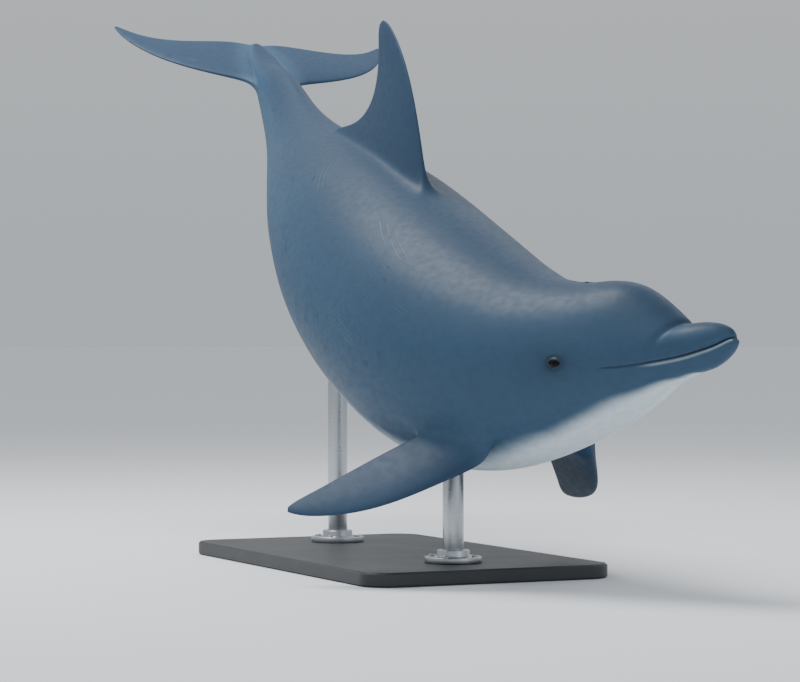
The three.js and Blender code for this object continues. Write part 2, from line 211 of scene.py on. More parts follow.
def spine_at(s):
    """Place, ahead, left and up at stations s, as arrays of 3-vectors."""
    i = np.clip((np.asarray(s, float) - STATIONS[0]) / STEP, 0, len(STATIONS) - 1.000001)
    low = np.floor(i).astype(int)
    t = (i - low)[..., None]
    return [row[low] + (row[low + 1] - row[low]) * t for row in SPINE]


def bend(p):
    """Straight-body points carried to their place, in millimetres."""
    place, _, left, up = spine_at(p[..., 0])
    return place + p[..., 1:2] * left + p[..., 2:3] * up


def unbend(q):
    """The straight-body points of points in space."""
    near = np.linalg.norm(q[:, None, :] - SPINE[0][None, ::COARSE], axis=2).argmin(1) * COARSE
    s = STATIONS[np.clip(near, 0, len(STATIONS) - 1)]
    for _ in range(25):
        place, ahead, left, up = spine_at(s)
        s = s - 0.8 * ((q - place) * ahead).sum(-1)
    off = q - place
    return np.stack([s, (off * left).sum(-1), (off * up).sum(-1)], -1)


def ride_at(station, p):
    """Fin points, which stay rigid and ride on the spine at one station."""
    place, ahead, left, up = spine_at(station)
    return (place + (station - p[..., 0:1]) * ahead + p[..., 1:2] * left + p[..., 2:3] * up)


# The model's own place: the foot of the front rod lies below station 800.
ROD_STATION = 800
rod_low, rod_high = (np.array(corner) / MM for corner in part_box("stand_rod_front"))
SHIFT = np.zeros(3)
SHIFT[:2] = (rod_low[:2] + rod_high[:2]) / 2 - bend(np.array([ROD_STATION, 0.0, 0.0]))[:2]
SHIFT[2] = MID_HEIGHT - spine_at(MID)[0][2]
SPINE[0] = SPINE[0] + SHIFT


# ---- the straight body's surface ----

def crease_at(y):
    """Where the melon's crease lies at the distance y from the middle."""
    return CREASE + CREASE_BOW * y * y


def body_point(s, a):
    """Points of the skin on rings s at angles a from the line of the back."""
    s, a = np.broadcast_arrays(np.asarray(s, float), np.asarray(a, float))
    c, n = np.cos(a), np.sin(a)
    bow = (CREASE_BOW * np.clip(s / CREASE, 0, 1) * np.clip((HEAD_BLEND_END - s) / CREASE_FADE, 0, 1)
           * np.where(c > 0, 1, (1 + c) ** 2))
    x = s.copy()
    for _ in range(6):
        y = half_width(x) * n * (1 - keel(x) * c * c)
        x = s + bow * y * y
    tip = np.sqrt(1 - (1 - np.clip(x / TIP_ROUNDING, 0, 1)) ** 2)
    y = y * tip
    top, low = back(x) * c * tip, beak_top(x) * c * tip
    u = np.clip((x - crease_at(y)) / MELON_RISE, 0, 1)
    melon = low + (top - low) * np.sqrt(u * (2 - u))
    z = np.where(c > 0, np.where(x < HEAD_BLEND_END, melon, top), belly(x) * c * tip)
    lead = JAW_LEAD * np.clip((-z - 2) / 20, 0, 1) * np.clip(1 - s / JAW_LEAD_FADE, 0, 1)
    return np.stack([x - lead, y, z], -1)


def outside(p):
    """How far straight-body points lie outside the skin, roughly."""
    s, y, z = p[..., 0], p[..., 1], p[..., 2]
    height = np.where(z > 0, back(s), belly(s))
    share = np.hypot(y / half_width(s), z / height)
    return np.hypot(y, z) * (1 - 1 / np.maximum(share, 1e-6))


def side_at(s, z):
    """Half width of the body at station s and height z below its axis."""
    return half_width(s) * np.sqrt(1 - (z / belly(s)) ** 2)


def line_angle(s, k):
    """The angle of line k on ring s: lines crowd toward the mouth's line."""
    k = k % LINES
    side = 1 if k <= HALF else -1
    k = min(k, LINES - k)
    reach = 1 - ramp(s, MOUTH_CORNER, CROWDING_END)
    round_tip = math.sqrt(1 - (1 - min(s / TIP_ROUNDING, 1)) ** 2)
    at_mouth = math.acos(max(float(mouth(s) / (belly(s) * round_tip)), -0.3))
    at_mouth = at_mouth * reach + math.pi * MOUTH_LINE / HALF * (1 - reach)
    power = 1 + CROWDING * reach
    if k <= MOUTH_LINE:
        return side * at_mouth * (1 - (1 - k / MOUTH_LINE) ** power)
    share = (k - MOUTH_LINE) / (HALF - MOUTH_LINE)
    return side * (at_mouth + (math.pi - at_mouth) * share**power)


# ---- fins ----

def bezier(points, t):
    """The point at t on the curve that these points steer."""
    row = [np.array(p, float) for p in points]
    while len(row) > 1:
        row = [p + (q - p) * t for p, q in zip(row, row[1:])]
    return row[0]


def fin_point(shape, t, v, side):
    """(chordwise, spanwise, through) at t from root to tip and v from edge to edge."""
    a, b = bezier(shape["lead"], t), bezier(shape["trail"], t)
    flare = 1 + ROOT_FLARE * max(1 - t / FLARE_END, 0) ** 2
    out = max(t - TIP_FROM, 0) / (1 - TIP_FROM)
    narrow = math.sqrt(1 - (1 - TIP_LEFT**2) * out**2)
    full = (shape["thick"][0] + (shape["thick"][1] - shape["thick"][0]) * t) * flare * narrow
    x, y = a + (b - a) * (0.5 + (v - 0.5) * narrow)
    return np.array([x, y, side * (1.5 * full * math.sqrt(v) * (1 - v) + EDGE * v)])


def lay_dorsal(p):
    """A point of the dorsal fin's outline, set on the straight body."""
    foot = back(DORSAL_FIN["station"]) - DORSAL_FIN["sunk"]
    return np.array([DORSAL_FIN["s"] + p[0], p[2], foot + p[1]])


def lay_flipper(name, side):
    """The function that sets a flipper's points on the straight body."""
    sweep, droop, twist = np.radians(FLIPPER_HELD[name])
    span = np.array([math.sin(sweep), side * math.cos(sweep) * math.cos(droop),
                     -math.cos(sweep) * math.sin(droop)])
    flat = np.array([1.0, 0, 0]) - span[0] * span
    flat /= np.linalg.norm(flat)
    chord = flat * math.cos(twist) + np.cross(span, flat) * math.sin(twist)
    axes = np.stack([chord, span, np.cross(span, chord)])
    s, y, z = FLIPPER["root"]
    return lambda p: np.array([s, side * y, z]) + p @ axes


def lay_fluke(side):
    """The function that sets a fluke's points on the straight body."""
    rise, fall = (math.tan(math.radians(FLUKE[key])) for key in ("lift", "pitch"))
    start = FLUKE["lead"][0][0]
    return lambda p: np.array([p[0], side * p[1], p[2] + rise * p[1] - fall * (p[0] - start)])


# ---- colour, nodes and small helpers ----

def linear(hex_colour):
    """An sRGB hex colour as linear red, green, blue and alpha."""
    parts = (int(hex_colour[i:i + 2], 16) / 255 for i in (1, 3, 5))
    return [c / 12.92 if c <= 0.04045 else ((c + 0.055) / 1.055) ** 2.4 for c in parts] + [1]


def add(tree, kind, inputs=(), output=0, to=None, **settings):
    """Adds a node and returns one of its outputs. Inputs maps a socket to a value or
    to another node's output, and the node's own output may be linked to a socket.
    """
    node = tree.nodes.new("ShaderNode" + kind)
    for key, value in settings.items():
        setattr(node, key, value)
    for key, value in dict(inputs).items():
        if isinstance(value, bpy.types.NodeSocket):
            tree.links.new(value, node.inputs[key])
        else:
            node.inputs[key].default_value = value
    if to is not None:
        tree.links.new(node.outputs[output], to)
    return node.outputs[output]


def new_material(name, **surface):
    """A material with its Principled surface's constant sockets set."""
    material = bpy.data.materials.new(name)
    material.use_nodes = True
    shader = material.node_tree.nodes["Principled BSDF"]
    for key, value in surface.items():
        shader.inputs[key.replace("_", " ")].default_value = value
    return material, material.node_tree, shader


def deselect():
    """Leaves edit mode, with nothing selected."""
    if bpy.context.object and bpy.context.object.mode != "OBJECT":
        bpy.ops.object.mode_set(mode="OBJECT")
    bpy.ops.object.select_all(action="DESELECT")


def make_active(obj):
    """Selects one object alone, for the operators that follow."""
    deselect()
    obj.select_set(True)
    bpy.context.view_layer.objects.active = obj


def edit_faces(obj):
    """Opens the object for editing by faces, with none selected."""
    make_active(obj)
    bpy.ops.object.mode_set(mode="EDIT")
    bpy.ops.mesh.select_all(action="DESELECT")
    bpy.ops.mesh.select_mode(type="FACE")


def leave_edit():
    """Goes back to the whole object, with no face selected."""
    bpy.ops.mesh.select_all(action="DESELECT")
    bpy.ops.object.mode_set(mode="OBJECT")


def modify(obj, kind, **settings):
    """Adds a modifier with its settings and applies it."""
    modifier = obj.modifiers.new(kind.lower(), kind)
    for key, value in settings.items():
        setattr(modifier, key, value)
    make_active(obj)
    bpy.ops.object.modifier_apply(modifier=modifier.name)


def face_outwards(obj):
    """Turns all faces of a closed mesh to point out."""
    edit_faces(obj)
    bpy.ops.mesh.select_all(action="SELECT")
    bpy.ops.mesh.normals_make_consistent(inside=False)
    leave_edit()


def coordinates(obj):
    """The mesh's points, one to a row, in metres."""
    co = np.empty(len(obj.data.vertices) * 3)
    obj.data.vertices.foreach_get("co", co)
    return co.reshape(-1, 3)


def store(obj, name, values, kind="FLOAT"):
    """Stores values, one for each point, as an attribute of the mesh."""
    attribute = obj.data.attributes.new(name, kind, "POINT")
    key = "vector" if kind == "FLOAT_VECTOR" else "value"
    attribute.data.foreach_set(key, np.ascontiguousarray(values, dtype=np.float32).ravel())


def finish_piece(obj, name, material, slot, *nodes):
    """Names the piece, gives it its finish and puts it in the frame."""
    obj.name = obj.data.name = name
    obj.data.materials.clear()
    obj.data.materials.append(material)
    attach(obj, "root")
    if nodes:
        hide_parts(*nodes)


# ---- the skin ----

FLESH = (
    "head", "upper_jaw", "lower_jaw", "neck", "chest", "trunk", "loin", "tail_stock",
    "dorsal_fin", "flipper_left", "flipper_right", "fluke_left", "fluke_right",
)


def even(start, end, count):
    """Stations after start up to end, in even steps."""
    return [start + (end - start) * (i + 1) / count for i in range(count)]


def ring_stations():
    """Where along the body the net's rings lie."""
    rings = list(HEAD_RINGS)
    rings += even(rings[-1], FLIPPER_WINDOW[0], 3) + even(*FLIPPER_WINDOW)
    rings += even(rings[-1], DORSAL_WINDOW[0], 7) + even(*DORSAL_WINDOW)
    rings += even(rings[-1], FLUKE_WINDOW[0], 14) + even(*FLUKE_WINDOW)
    return rings


RINGS = ring_stations()


def skin_net():
    """A ball of rings and lines, each of its points moved onto the straight body."""
    deselect()
    count = len(RINGS) + 1
    bpy.ops.mesh.primitive_uv_sphere_add(segments=LINES, ring_count=count, radius=1)
    obj = bpy.context.object
    bm = bmesh.new()
    bm.from_mesh(obj.data)
    ring_of = bm.verts.layers.int.new("ring")
    line_of = bm.verts.layers.int.new("line")
    bm.verts.layers.int.new("level")
    angles = [[line_angle(s, k) for k in range(LINES)] for s in RINGS]
    grid = bend(body_point(np.array(RINGS)[:, None], np.array(angles))) * MM
    ends = bend(np.array([[0, 0, float(mouth(0))], [BODY_END, 0, 0]], float)) * MM
    for vert in bm.verts:
        ring = round(math.acos(max(-1, min(1, vert.co.z))) / math.pi * count)
        line = round(math.atan2(vert.co.y, vert.co.x) / (2 * math.pi) * LINES) % LINES
        at_end = ring in (0, count)
        vert[ring_of] = ring - 1
        vert[line_of] = -1 if at_end else line
        vert.co = ends[0 if ring == 0 else 1] if at_end else grid[ring - 1][line]
    bm.to_mesh(obj.data)
    bm.free()
    return obj


def fin_list():
    """Each fin with its window of the net: the rings and the three lines it leaves."""
    rows = (
        (DORSAL_FIN, lay_dorsal, DORSAL_WINDOW, (1, 0, -1)),
        (FLIPPER, lay_flipper("left", 1), FLIPPER_WINDOW, (19, 18, 17)),
        (FLIPPER, lay_flipper("right", -1), FLIPPER_WINDOW, (31, 30, 29)),
        (FLUKE, lay_fluke(1), FLUKE_WINDOW, (11, 12, 13)),
        (FLUKE, lay_fluke(-1), FLUKE_WINDOW, (37, 36, 35)),
    )
    fins = [dict(zip(("shape", "lay", "window", "lines"), row)) for row in rows]
    for fin in fins:
        start = fin["window"][0]
        fin["first"] = min(range(len(RINGS)), key=lambda i: abs(RINGS[i] - start))
    return fins


SPAN_STEPS = (0, 0.13, 0.28, 0.44, 0.6, 0.74, 0.85, 0.92, 0.97, 1)
CLEAR_OF_SKIN = 12.0


def first_clear(shape, lay, v, side):
    """How far along the fin its surface comes clear of the body's skin."""
    for t in np.linspace(0, 0.5, 101):
        p = ride_at(shape["station"], lay(fin_point(shape, t, v, side)))
        if outside(unbend(p[None]))[0] > CLEAR_OF_SKIN * (1 - 0.7 * v):
            return float(t)
    return 0.5


def window_loop(first, count, lines):
    """The window's outer points in order, as (ring, line) keys."""
    line = [k % LINES for k in lines]
    rings = range(first, first + count + 1)
    return ([(i, line[0]) for i in rings] + [(first + count, line[1])]
            + [(i, line[2]) for i in reversed(rings)] + [(first, line[1])])


def layers_of(bm):
    """The net's own marks on each point: ring, line and level along a fin."""
    return [bm.verts.layers.int[name] for name in ("ring", "line", "level")]


def grow_fin(obj, fin):
    """Extrudes a window of the skin's net into a fin, one length after another."""
    shape, lay = fin["shape"], fin["lay"]
    first = fin["first"]
    count = fin["window"][2]
    spots = {}
    for i in range(count + 1):
        for j, line in enumerate(fin["lines"]):
            v = 0.5 - 0.5 * math.cos(math.pi * i / count)
            v = v if j == 1 else 0.012 + 0.976 * v
            spots[(first + i, line % LINES)] = (v, (1, 0, -1)[j])
    clear = {key: first_clear(shape, lay, *spot) for key, spot in spots.items()}
    edit_faces(obj)
    bm = bmesh.from_edit_mesh(obj.data)
    ring_of, line_of, _ = layers_of(bm)
    for face in bm.faces:
        face.select_set(all((v[ring_of], v[line_of]) in spots for v in face.verts))
    bmesh.update_edit_mesh(obj.data)
    for level, step in enumerate(SPAN_STEPS, 1):
        bpy.ops.mesh.extrude_region_move()
        bm = bmesh.from_edit_mesh(obj.data)
        ring_of, line_of, level_of = layers_of(bm)
        for vert in (v for v in bm.verts if v.select):
            key = (vert[ring_of], vert[line_of])
            t = clear[key] + (1 - clear[key]) * step
            vert.co = Vector(ride_at(shape["station"], lay(fin_point(shape, t, *spots[key]))) * MM)
            vert[level_of] = level
        bmesh.update_edit_mesh(obj.data)
    leave_edit()


# The skin's flat map: the body's sheet below, the fins' strips and their tips above.
MAP_LENGTH, MAP_GIRTH = 2650.0, 1560.0
MAP_FINS, MAP_STRIP, MAP_TIPS, MAP_COLUMNS = 0.62, 0.2, 0.86, 125


def sheet_spots(keys):
    """Places on the flat map of one face of the body."""
    lines = [k for _, k in keys if k >= 0]
    wrap = max(lines) - min(lines) > HALF
    turns = [k + LINES * (wrap and 0 <= k < HALF) if k >= 0 else None for _, k in keys]
    middle = sum(t for t in turns if t is not None) / len(lines)
    lengths = [0] + RINGS + [BODY_END]
    return [(lengths[ring + 1] / MAP_LENGTH,
             (middle if turn is None else turn) / LINES * MAP_GIRTH / MAP_LENGTH)
            for (ring, _), turn in zip(keys, turns)]


def strip_spots(fin, keys, levels):
    """Places on the flat map of one face of a fin's sides or tip."""
    if min(levels) == len(SPAN_STEPS):
        across = [k % LINES for k in fin["lines"]]
        return [((fin["column"] + ring - fin["first"]) / MAP_COLUMNS,
                 MAP_TIPS + across.index(line) * 0.01) for ring, line in keys]
    steps = [fin["order"][key] for key in keys]
    wrap = max(steps) - min(steps) > len(fin["order"]) / 2
    return [((fin["column"] + step + len(fin["order"]) * (wrap and step < 3)) / MAP_COLUMNS,
             MAP_FINS + MAP_STRIP * level / len(SPAN_STEPS))
            for step, level in zip(steps, levels)]


def lay_flat(obj, fins):
    """Unrolls the skin: the body as one sheet, each fin as a strip and its tip."""
    bm = bmesh.new()
    bm.from_mesh(obj.data)
    ring_of, line_of, level_of = layers_of(bm)
    for old in list(bm.loops.layers.uv.keys()):
        bm.loops.layers.uv.remove(bm.loops.layers.uv[old])
    uv = bm.loops.layers.uv.new("OFBake")
    column = 0
    for fin in fins:
        loop = window_loop(fin["first"], fin["window"][2], fin["lines"])
        fin["order"] = {key: n for n, key in enumerate(loop)}
        fin["inside"] = set(loop) | {
            (fin["first"] + n, fin["lines"][1] % LINES) for n in range(fin["window"][2] + 1)}
        fin["column"] = column
        column += len(loop) + 1
    for face in bm.faces:
        keys = [(v[ring_of], v[line_of]) for v in face.verts]
        levels = [v[level_of] for v in face.verts]
        if max(levels) == 0:
            spots = sheet_spots(keys)
        else:
            spots = strip_spots(next(f for f in fins if keys[0] in f["inside"]), keys, levels)
        for loop, spot in zip(face.loops, spots):
            loop[uv].uv = spot
    bm.to_mesh(obj.data)
    bm.free()


def subdivide_near(obj, centre, radius, cuts):
    """Splits the faces near a point of the straight body into finer ones."""
    spot = Vector(bend(np.array(centre, float)) * MM)
    edit_faces(obj)
    bm = bmesh.from_edit_mesh(obj.data)
    for face in bm.faces:
        face.select_set((face.calc_center_median() - spot).length < radius * MM)
    bmesh.update_edit_mesh(obj.data)
    bpy.ops.mesh.subdivide(number_cuts=cuts, smoothness=0.4)
    leave_edit()


def normals(obj):
    """The mesh's outward directions, one to a row."""
    out = np.empty(len(obj.data.vertices) * 3)
    obj.data.vertex_normals.foreach_get("vector", out)
    return out.reshape(-1, 3)


def bell(x, width):
    """1 at 0, falling away smoothly over about the width."""
    return np.exp(-(x / width) ** 2)


def at_lips(s):
    """1 along the front of the mouth, where the lips are full, and 0 further back."""
    return 1 - ramp(s, 130, 175)


def mouth_relief(p, settings):
    """Lips and the groove between them, along the mouth's line."""
    s, _, z = p.T
    off = z - mouth(s)
    near = (outside(p) > -12) & (s < HEAD_END)
    fade = (0.5 + 0.5 * at_lips(s)) * (1 - ramp(s, MOUTH_CORNER - 30, MOUTH_CORNER + 4))
    groove = -settings.mouth_depth / MM * bell(off, settings.mouth_width / MM)
    lips = settings.lip_height / MM * (bell(off - 6, 4) * 0.5 + bell(off + 6.5, 4.5) * at_lips(s))
    corner = bell(np.hypot(s - MOUTH_CORNER - 10, off - 3), 14) * 1.4
    return np.where(near, (groove + lips) * fade - corner, 0)


def eye_frame(side):
    """Centre of the eye, and its forward, upward and outward directions."""
    ahead, behind, above, below, middle = (
        np.array([s, side * side_at(s, z), z], float)
        for s, z in ((EYE_S - 6, EYE_Z), (EYE_S + 6, EYE_Z), (EYE_S, EYE_Z + 6),
                     (EYE_S, EYE_Z - 6), (EYE_S, EYE_Z)))
    forward = ahead - behind
    upward = above - below
    forward /= np.linalg.norm(forward)
    outward = np.cross(forward, upward) * -side
    outward /= np.linalg.norm(outward)
    outward *= np.sign(outward[1]) * side
    upward = upward - (upward @ forward) * forward
    upward /= np.linalg.norm(upward)
    return middle - [0, side * EYE_SUNK, 0], forward, upward, outward


def eye_relief(p, side, settings):
    """Lids that lie over the ball, and the socket behind the opening."""
    centre, forward, upward, outward = eye_frame(side)
    off = p - centre - outward * EYE_SUNK
    a, b, deep = off @ forward, off @ upward, off @ outward
    tilt = math.radians(LID_TILT)
    a, b = a * math.cos(tilt) - b * math.sin(tilt), a * math.sin(tilt) + b * math.cos(tilt)
    length, height = settings.eye_opening_length / MM / 2, settings.eye_opening_height / MM / 2
    lid = np.where(b > 0, height * 1.1, height * 0.9)
    open_share = (a / length) ** 2 + (np.abs(b) / lid) ** 1.6
    reach = np.hypot(a, b)
    ball = np.sqrt(np.maximum(EYE_RADIUS**2 - reach**2, 0)) - EYE_SUNK
    drape = np.logaddexp(0, (ball + 1.2) / 1.3) * 1.3
    drape = drape * (1 - ramp(reach, 12, 24)) + bell(reach - 17, 7)
    rim = 0.7 * bell(open_share - 1.15, 0.25)
    fold = np.where(b > 0, -0.9 * bell(open_share - 2.9, 0.4), -0.5 * bell(open_share - 2.6, 0.4))
    socket = -14 * ramp(1 - open_share, 0, 0.3)
    near = (reach < 40) & (np.abs(deep) < 40)
    return np.where(near, drape + np.where(open_share < 1, socket, rim + fold), 0)


def from_crescent(p):
    """How far points lie outside the blowhole's arc, and their angle on it."""
    back_of, aside = p[:, 0] - BLOWHOLE_S, np.abs(p[:, 1])
    return np.hypot(back_of, aside) - BLOWHOLE_ARC, np.degrees(np.arctan2(aside, back_of))


def blowhole_relief(p):
    """The closed crescent of the blowhole, in its shallow dip."""
    s, y, z = p.T
    off, angle = from_crescent(p)
    fade = 1 - ramp(angle, BLOWHOLE_HALF - 14, BLOWHOLE_HALF + 8)
    slit = (-5.5 * bell(off, 1.7) + 1.8 * bell(off - 5, 4) + 1.4 * bell(off + 5, 4)) * fade
    dip = -1.5 * bell(np.hypot(s - BLOWHOLE_S - 8, y), 45)
    return np.where((z > TOP_OF_HEAD) & (s < HEAD_END), slit + dip, 0)


def crease_relief(p):
    """The groove where the melon meets the beak."""
    s, y, z = p.T
    off = s - crease_at(np.clip(y, -95, 95))
    groove = -1.6 * bell(off, 4) * ramp(z, -12, 8)
    return np.where(s < 260, groove, 0)


def around(p):
    """The way round the body: 0 on the back, 1 below."""
    height = np.where(p[:, 2] > 0, back(p[:, 0]), belly(p[:, 0]))
    return np.arctan2(np.abs(p[:, 1]) / half_width(p[:, 0]), p[:, 2] / height) / math.pi


def skin_marks(p):
    """Shares of dark and of pale paint: a dark patch round the eye, painted shade in
    the blowhole's slit and in the mouth's groove, and pale along the lower lip.
    """
    s, y, z = p.T
    side = np.where(y > 0, 1, -1)
    eye_y = side * side_at(EYE_S, EYE_Z)
    from_eye = np.sqrt(((s - EYE_S) / 1.35) ** 2 + (y - eye_y) ** 2 + (z - EYE_Z) ** 2)
    dark = 0.75 * bell(from_eye, 14) + 0.25 * bell(from_eye, 34)
    outside_arc, angle = from_crescent(p)
    # Painted shade: a dark line along the blowhole's closed slit.
    crescent = bell(outside_arc, 3) * (1 - ramp(angle, 60, 80)) * (z > TOP_OF_HEAD)
    off = z - mouth(s)
    # Painted shade: a dark line down the mouth's groove, fading toward its corner.
    groove = (bell(off, 1.8) * (0.6 + 0.4 * at_lips(s)) * (s < 400)
              * (1 - ramp(s, MOUTH_CORNER - 28, MOUTH_CORNER + 5)))
    pale = 0.5 * bell(off + 4, 2) * at_lips(s) * (outside(p) > -12)
    return np.clip(dark + crescent + groove, 0, 1), pale


def make_skin(settings):
    """The skin of body and fins, shaped and marked for its paint."""
    obj = skin_net()
    fins = fin_list()
    for fin in fins:
        grow_fin(obj, fin)
    lay_flat(obj, fins)
    face_outwards(obj)
    modify(obj, "SUBSURF", levels=SUBDIVISIONS, render_levels=SUBDIVISIONS)
    for side in (1, -1):
        subdivide_near(obj, (EYE_S, side * side_at(EYE_S, EYE_Z), EYE_Z), radius=22, cuts=3)
    subdivide_near(obj, (BLOWHOLE_S + 10, 0, back(BLOWHOLE_S)), radius=34, cuts=2)
    co = coordinates(obj)
    p = unbend(co / MM)
    rise = mouth_relief(p, settings) + blowhole_relief(p) + crease_relief(p)
    rise += eye_relief(p, 1, settings) * (p[:, 1] > 0) + eye_relief(p, -1, settings) * (p[:, 1] < 0)
    co += normals(obj) * rise[:, None] * MM
    obj.data.vertices.foreach_set("co", co.ravel())
    obj.data.update()
    store(obj, "body_place", p * MM, "FLOAT_VECTOR")
    round_at = around(p)
    store(obj, "around", round_at)
    store(obj, "pale_edge", round_at - pale_from(p[:, 0]))
    store(obj, "fin_reach", ramp(outside(p), 5, 60))
    dark, pale = skin_marks(p)
    # Dark paint: the patch round the eye, with painted shade in the mouth's groove and the blowhole's slit.
    store(obj, "eye_patch_and_painted_shade", dark)
    store(obj, "mark_pale", pale)
    store(obj, "flank", ramp(p[:, 0], 500, 800) * ramp(p[:, 2], -160, -60))
    bpy.ops.object.shade_smooth()
    return obj


# ---- materials ----

SOFT = {"interpolation_type": "SMOOTHSTEP"}
COLOUR = {"data_type": "RGBA", "output": 2}


def dolphin_skin(colours):
    """Cetacean epidermis: smooth, hairless and rubbery, with a satin sheen. Dark
    slate on the back, a little softer on the sides and pale below, faintly clouded,
    with thin pale tooth scratches that other dolphins leave in parallel sets.
    """
    material, tree, shader = new_material(
        "Cetacean skin", IOR=1.42, Coat_Weight=0.04, Coat_Roughness=0.25,
        Specular_IOR_Level=0.22)
    place = add(tree, "Attribute", output="Vector", attribute_name="body_place")
    around, pale_edge, fin_reach, eye_patch_and_painted_shade, mark_pale, flank = (
        add(tree, "Attribute", output="Fac", attribute_name=name)
        for name in ("around", "pale_edge", "fin_reach", "eye_patch_and_painted_shade", "mark_pale", "flank"))

    # Clouding about 200 mm across, flecks 30 mm, mottle about 15 mm, pores about 2 mm.
    cloud, flecks, mottle, pores = (
        add(tree, "TexNoise", {"Vector": place, "Scale": scale, "Detail": detail})
        for scale, detail in ((5, 3), (30, 3), (65, 4), (500, 2)))
    drift = add(tree, "Math", {0: cloud, 1: 0.1, 2: -0.05}, operation="MULTIPLY_ADD")

    # The dark back fades into the sides; the pale underside has a firmer edge.
    from_back = add(tree, "Math", {0: around, 1: drift}, operation="ADD")
    cape = add(tree, "MapRange",
               {"Value": from_back, "From Min": 0.15, "From Max": 0.5}, **SOFT)
    sides = add(tree, "Mix",
                {0: cape, 6: tuple(colours.back), 7: tuple(colours.flank)}, **COLOUR)
    over_edge = add(tree, "Math", {0: pale_edge, 1: drift}, operation="ADD")
    below = add(tree, "MapRange",
                {"Value": over_edge, "From Min": -0.055, "From Max": 0.06}, **SOFT)
    mottled = add(tree, "MapRange", {
        "Value": mottle, "From Min": 0.4, "From Max": 0.68, "To Max": 0.1}, **SOFT)
    flecked = add(tree, "MapRange", {
        "Value": flecks, "From Min": 0.66, "From Max": 0.73, "To Max": 0.4}, **SOFT)
    flecked = add(tree, "Math", {0: flecked, 1: flank}, operation="MULTIPLY")

    # Tooth scratches: sets of lines about 10 mm apart, in patches about 200 by 60 mm.
    scratches = 0.0
    for angle, spacing, shift in ((14, 0.009, 0), (-24, 0.011, 7)):
        turned = add(tree, "Mapping", {
            "Vector": place, "Rotation": (0, math.radians(angle), 0)})
        lines = add(tree, "TexWave", {
            "Vector": turned, "Scale": 2 * math.pi / 20 / spacing, "Distortion": 0.4,
            "Detail": 1}, output="Fac", bands_direction="Z")
        lines = add(tree, "MapRange",
                    {"Value": lines, "From Min": 0.95, "From Max": 0.995}, **SOFT)
        wide = add(tree, "Mapping", {
            "Vector": turned, "Location": (shift, 0, shift), "Scale": (5, 9, 17)})
        patch = add(tree, "TexNoise", {"Vector": wide, "Scale": 1, "Detail": 2})
        patch = add(tree, "MapRange",
                    {"Value": patch, "From Min": 0.64, "From Max": 0.72}, **SOFT)
        lines = add(tree, "Math", {0: lines, 1: patch}, operation="MULTIPLY")
        scratches = add(tree, "Math", {0: scratches, 1: lines}, operation="MAXIMUM")
    on_side = add(tree, "MapRange",
                  {"Value": around, "From Min": 0.07, "From Max": 0.16}, **SOFT)
    for where in (flank, on_side):
        scratches = add(tree, "Math", {0: scratches, 1: where}, operation="MULTIPLY")
    scratched = add(tree, "Math", {0: scratches, 1: 0.14}, operation="MULTIPLY")

    # One coat over another, each by its own share.
    colour = sides
    for share, coat in (
            (below, tuple(colours.belly)), (fin_reach, tuple(colours.fins)),
            # The dark coat: the eye's patch, and painted shade in the mouth's groove and the blowhole's
            # slit.
            (eye_patch_and_painted_shade, linear("#1d2731")), (mark_pale, linear("#b9c8d0")),
            (mottled, linear("#202b36")), (flecked, linear("#1b2733")),
            (scratched, linear("#93a7b5"))):
        colour = add(tree, "Mix", {0: share, 6: colour, 7: coat}, **COLOUR)
    tree.links.new(colour, shader.inputs["Base Color"])
    add(tree, "MapRange", {"Value": mottle, "From Min": 0.3, "From Max": 0.7,
                           "To Min": 0.5, "To Max": 0.58},
        to=shader.inputs["Roughness"], **SOFT)
    relief = add(tree, "Math", {0: pores, 1: 0.3, 2: scratches}, operation="MULTIPLY_ADD")
    add(tree, "Bump", {"Height": relief, "Strength": 0.2, "Distance": 0.0006},
        to=shader.inputs["Normal"])
    return material


def eye_material():
    """The eyeball: a wet, glassy cornea over a nearly black brown iris with a wide
    oval pupil, and a bluish white only far round its side.
    """
    material, tree, shader = new_material(
        "Wet eye", Roughness=0.06, IOR=1.34, Specular_IOR_Level=0.3)
    from_pupil, from_axis = (
        add(tree, "Attribute", output="Fac", attribute_name=name)
        for name in ("from_pupil", "from_axis"))
    pupil = add(tree, "MapRange",
                {"Value": from_pupil, "From Min": 3.2, "From Max": 4.2}, **SOFT)
    iris = add(tree, "Mix",
               {0: pupil, 6: linear("#030303"), 7: linear("#120c09")}, **COLOUR)
    rim = add(tree, "MapRange",
              {"Value": from_axis, "From Min": 0.62, "From Max": 0.75}, **SOFT)
    add(tree, "Mix", {0: rim, 6: iris, 7: linear("#4d5458")},
        to=shader.inputs["Base Color"], **COLOUR)
    return material


def painted_board(colours):
    """Medium density board sprayed with satin paint: an even, faintly stippled
    sheen like orange peel, about 1.5 mm across.
    """
    material, tree, shader = new_material("Satin painted board", IOR=1.5)
    shader.inputs["Base Color"].default_value = tuple(colours.board)
    place = add(tree, "TexCoord", output="Object")
    peel, wear = (
        add(tree, "TexNoise", {"Vector": place, "Scale": scale, "Detail": detail})
        for scale, detail in ((650, 2), (9, 3)))
    add(tree, "MapRange", {"Value": wear, "From Min": 0.3, "From Max": 0.7,
                           "To Min": 0.46, "To Max": 0.5},
        to=shader.inputs["Roughness"], **SOFT)
    add(tree, "Bump", {"Height": peel, "Strength": 0.2, "Distance": 0.0005},
        to=shader.inputs["Normal"])
    return material


